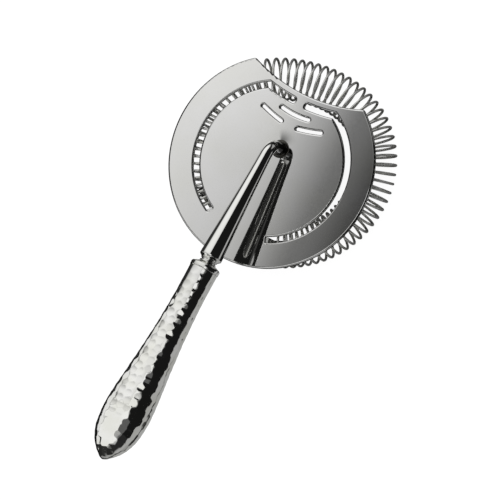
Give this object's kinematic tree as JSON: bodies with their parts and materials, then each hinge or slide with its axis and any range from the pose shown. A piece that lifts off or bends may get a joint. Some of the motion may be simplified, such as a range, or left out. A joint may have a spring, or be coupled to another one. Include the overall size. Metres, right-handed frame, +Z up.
{
  "type": "hawthorne strainer",
  "caption": "Hawthorne cocktail strainer: slotted round plate with a hollow pouring lip, a coil spring around its rim, a gooseneck stem and a hammered hollow handle.",
  "frame": {"origin": "centre of the plate's circle, on its underside", "axes": "+X to the hollow pouring lip, handle towards -X, +Z up out of the plate's polished face"},
  "size_m": [0.1899, 0.0952, 0.0644],
  "materials": {
    "polished_plate": "satin mirror polish, fine circular rub marks",
    "spring_wire": "bright drawn wire",
    "polished_stem": "mirror polish",
    "braze": "polished solder fillet",
    "ferrule_metal": "mirror polish",
    "hammered_metal": "hand-hammered dimples, polished",
    "cement": "matt cement fill, hidden"
  },
  "bodies": {
    "strainer": {"strainer_plate": "polished_plate", "stem": "polished_stem", "stem_braze": "braze", "ferrule": "ferrule_metal", "handle_shell_upper": "hammered_metal", "handle_shell_lower": "hammered_metal", "handle_filler": "cement"},
    "spring": {"coil_spring": "spring_wire"}
  },
  "joints": [
    {"name": "spring_squeeze", "type": "slide", "parent": "strainer", "child": "spring", "axis": [-1, 0, 0], "range_m": [0, 0.005], "stiffness_N_per_m": 400, "deforming": ["coil_spring"]}
  ]
}
